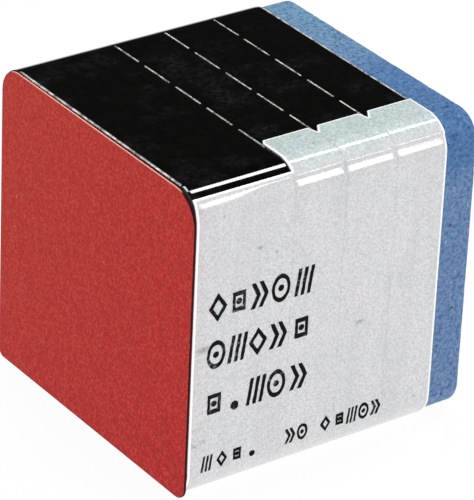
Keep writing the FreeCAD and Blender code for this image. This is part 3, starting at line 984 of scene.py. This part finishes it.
def chalk_block():
    count = 336
    centre_z = HEIGHT / 2
    half_y, half_z = chalk_high.y, chalk_high.z - centre_z
    rings = []

    def ring(x, inset):
        radii = [CHALK_ROUND - inset] * 4
        points = rounded_ring(half_y - inset, half_z - inset, radii, centre_z, count)
        rings.append([(x, y, z) for y, z in points])

    for inset in (8.0, 4.0, 1.0, 0.4):
        ring(chalk_low.x, inset)
    for turn in (0, 30, 60, 90):
        a = math.radians(turn)
        ring(chalk_low.x + GLUED_EDGE * (1 - math.cos(a)), GLUED_EDGE * (1 - math.sin(a)))
    for x in spread(chalk_low.x + 0.4, WRAP_END - 0.5, 0.5):
        ring(x, 0)
    for x in spread(WRAP_END - 0.3, chalk_high.x - CHALK_EDGE, 0.16):
        ring(x, 0)
    for turn in (20, 40, 60, 80, 90):
        a = math.radians(turn)
        ring(chalk_high.x - CHALK_EDGE * (1 - math.sin(a)), CHALK_EDGE * (1 - math.cos(a)))
    rim_ring = rings[-1]
    mouth = DISH_WIDTH / 2
    for t in spread(0, 1, 1 / 16)[1:]:
        row = []
        for _, y, z in rim_ring:
            angle = math.atan2(z - centre_z, y)
            my, mz = mouth * math.cos(angle), mouth * math.sin(angle) + centre_z
            row.append((chalk_high.x, y + (my - y) * t, z + (mz - z) * t))
        rings.append(row)
    radius = (mouth ** 2 + DISH_DEPTH ** 2) / (2 * DISH_DEPTH)
    for reach in spread(0, 1, 1 / 30)[1:-1]:
        r = mouth * (1 - reach)
        depth = DISH_DEPTH - (radius - math.sqrt(radius ** 2 - r ** 2))
        row = []
        for _, y, z in rim_ring:
            angle = math.atan2(z - centre_z, y)
            row.append((chalk_high.x - depth, r * math.cos(angle), centre_z + r * math.sin(angle)))
        rings.append(row)

    def crumble(v):
        """Moves a bare point inwards by the chalk's unevenness, most where the face's edge is worn."""
        p = Vector(v)
        bare = smooth((p.x - WRAP_END + 0.2) / 0.3)
        worn = smooth((p.x - chalk_high.x + 0.7) / 0.7)
        rough = 0.5 + 0.5 * noise.noise(p * 1.3) + 0.35 * noise.noise(p * 3.1)
        pits = max(0.0, noise.noise(p * 5.3) - 0.1)
        chips = max(0.0, noise.noise(p * 0.9 + Vector((7, 3, 1))) - 0.25) * worn
        from_axis = Vector((0, p.y, p.z - centre_z))
        if p.x > chalk_high.x - 0.01 or from_axis.length < mouth:
            inward = Vector((-1, 0, 0))
        else:
            inward = (-from_axis.normalized() - Vector((0.7 * worn, 0, 0))).normalized()
        return p + inward * (bare * (0.02 * rough + 0.05 * pits) + 0.14 * chips)

    # painted shade: the chalk's end under the red label takes the black cut-edge finish, as shade in the
    # gap round the label
    painted_shade_rows = next(i for i, points in enumerate(rings) if points[0][0] > chalk_low.x + 2 * GLUED_EDGE)
    kinds = [EDGE] * painted_shade_rows + [SURFACE] * (len(rings) - painted_shade_rows)
    piece = ring_piece("chalk_block_pressed", rings, (CHALK, BLACK_CORE_AND_SHADE), kinds, crumble)
    rides(piece, "chalk_and_base", "chalk", "chalk_block")


def base_label():
    count = 400
    centre_z = HEIGHT / 2
    half_y, half_z = base_high.y, base_high.z - centre_z
    rings, kinds = [], []

    def ring(x, inset, kind):
        """One ring. kind is what lies between it and the next one.

        The top side sinks a little towards the front, where the label lies askew.
        """
        radii = [radius - inset for radius in LABEL_ROUNDS]
        points = rounded_ring(half_y - inset, half_z - inset, radii, centre_z, count)
        rings.append([
            (x, y, z - LABEL_SKEW * (half_y - y) / WIDTH * smooth((z - centre_z) / half_z))
            for y, z in points
        ])
        kinds.append(kind)

    for inset in (8.0, 4.0, 1.0, 0.2):
        ring(base_high.x, inset, UNDERSIDE)
    ring(base_high.x, 0, PAINTED_SHADE_EDGE)
    ring((base_low.x + base_high.x) / 2, 0, EDGE)
    ring(base_low.x + LABEL_EDGE, 0, EDGE)
    for turn in (20, 40, 60, 80, 90):
        a = math.radians(turn)
        ring(base_low.x + LABEL_EDGE * (1 - math.sin(a)), LABEL_EDGE * (1 - math.cos(a)), EDGE)
    for inset in (0.04, 0.3, 0.6, 1.2, 2.0, 4.0, 7.0, 10.0):
        ring(base_low.x, inset, SURFACE)
    rings.reverse()
    kinds.reverse()
    materials = (RED, PAPER_CORE, ADHESIVE, PAPER_SHADE)
    piece = ring_piece("base_label_red", rings, materials, kinds[1:] + kinds[-1:])
    rides(piece, "chalk_and_base", "red_label", "base_label")


base_band()
for strip in STRIPS:
    tear_strip(strip)
printed_marks()
chalk_block()
base_label()

# ---------------------------------------------------------------- camera, floor and lights

CAMERA_AZIMUTH = -36.533
CAMERA_ELEVATION = 28.639
CAMERA_ROLL = 2.67
CAMERA_PLACE = Vector((-129.49, -175.29, 129.24)) * MM
LENS = 269.57
SENSOR_WIDTH = 36
LIGHT_DISTANCE = 0.8


def direction(azimuth, elevation):
    """Unit vector from the object towards a place at that azimuth and elevation."""
    a, e = math.radians(azimuth), math.radians(elevation)
    return Vector((math.sin(a) * math.cos(e), -math.cos(a) * math.cos(e), math.sin(e)))


def make_camera():
    data = bpy.data.cameras.new("camera")
    camera = bpy.data.objects.new("camera", data)
    bpy.context.scene.collection.objects.link(camera)
    back = direction(CAMERA_AZIMUTH, CAMERA_ELEVATION)
    look = (-back).to_track_quat("-Z", "Y").to_matrix().to_4x4()
    roll = Matrix.Rotation(math.radians(CAMERA_ROLL), 4, "Z")
    camera.matrix_world = Matrix.Translation(CAMERA_PLACE) @ look @ roll
    data.lens = LENS
    data.sensor_width = SENSOR_WIDTH
    data.clip_start = 0.01
    data.clip_end = 20
    bpy.context.scene.camera = camera


def make_floor():
    """A floor that glows almost white, so that the shadow on it is hardly seen."""
    mesh = bpy.data.meshes.new("floor")
    reach = 3.0
    corners = [(-reach, -reach, 0), (reach, -reach, 0), (reach, reach, 0), (-reach, reach, 0)]
    mesh.from_pydata(corners, [], [(0, 1, 2, 3)])
    n = Nodes("floor_paper")
    n.set(Base_Color=(0.055, 0.055, 0.055, 1), Roughness=1.0, Specular_IOR_Level=0.0)
    n.set(Emission_Color=(1, 1, 1, 1), Emission_Strength=0.95)
    mesh.materials.append(n.material)
    floor = bpy.data.objects.new("floor", mesh)
    bpy.context.scene.collection.objects.link(floor)


def softbox(name, azimuth, elevation, size, radiance, colour=(1, 1, 1)):
    """A rectangular light facing the object. size is (width, height) in metres."""
    light = bpy.data.lights.new(name, "AREA")
    light.shape = "RECTANGLE"
    light.size, light.size_y = size
    light.energy = radiance * math.pi * size[0] * size[1]
    light.color = colour
    lamp = bpy.data.objects.new(name, light)
    bpy.context.scene.collection.objects.link(lamp)
    centre = (cad_box[0] + cad_box[1]) / 2
    way = direction(azimuth, elevation)
    turn = way.to_track_quat("Z", "Y").to_matrix().to_4x4()
    lamp.matrix_world = Matrix.Translation(centre + way * LIGHT_DISTANCE) @ turn


def make_world():
    """White behind the object for the camera, and dim everywhere else, so that gloss stays dark."""
    world = bpy.data.worlds.new("studio")
    bpy.context.scene.world = world
    world.use_nodes = True
    nodes, links = world.node_tree.nodes, world.node_tree.links
    rays = nodes.new("ShaderNodeLightPath")
    mix = nodes.new("ShaderNodeMixShader")
    dim, bright = nodes["Background"], nodes.new("ShaderNodeBackground")
    dim.inputs["Color"].default_value = (1, 1, 1, 1)
    dim.inputs["Strength"].default_value = 0.03
    bright.inputs["Strength"].default_value = 1.0
    bright.inputs["Color"].default_value = (1, 1, 1, 1)
    links.new(rays.outputs["Is Camera Ray"], mix.inputs["Fac"])
    links.new(dim.outputs[0], mix.inputs[1])
    links.new(bright.outputs[0], mix.inputs[2])
    links.new(mix.outputs[0], nodes["World Output"].inputs["Surface"])


make_camera()
make_floor()
make_world()
softbox("overhead", 158.6, 69, (0.17, 0.38), 15.0, (0.92, 1.0, 1.0))
softbox("front_right", 33.5, 17, (0.12, 0.25), 12.0)
softbox("front", -8, 27, (0.6, 0.5), 3.05)
softbox("left", -95, 32, (0.6, 0.6), 1.78)
softbox("line", 99.5, 58, (0.14, 0.25), 22.0)
bpy.context.scene.view_settings.view_transform = "Standard"
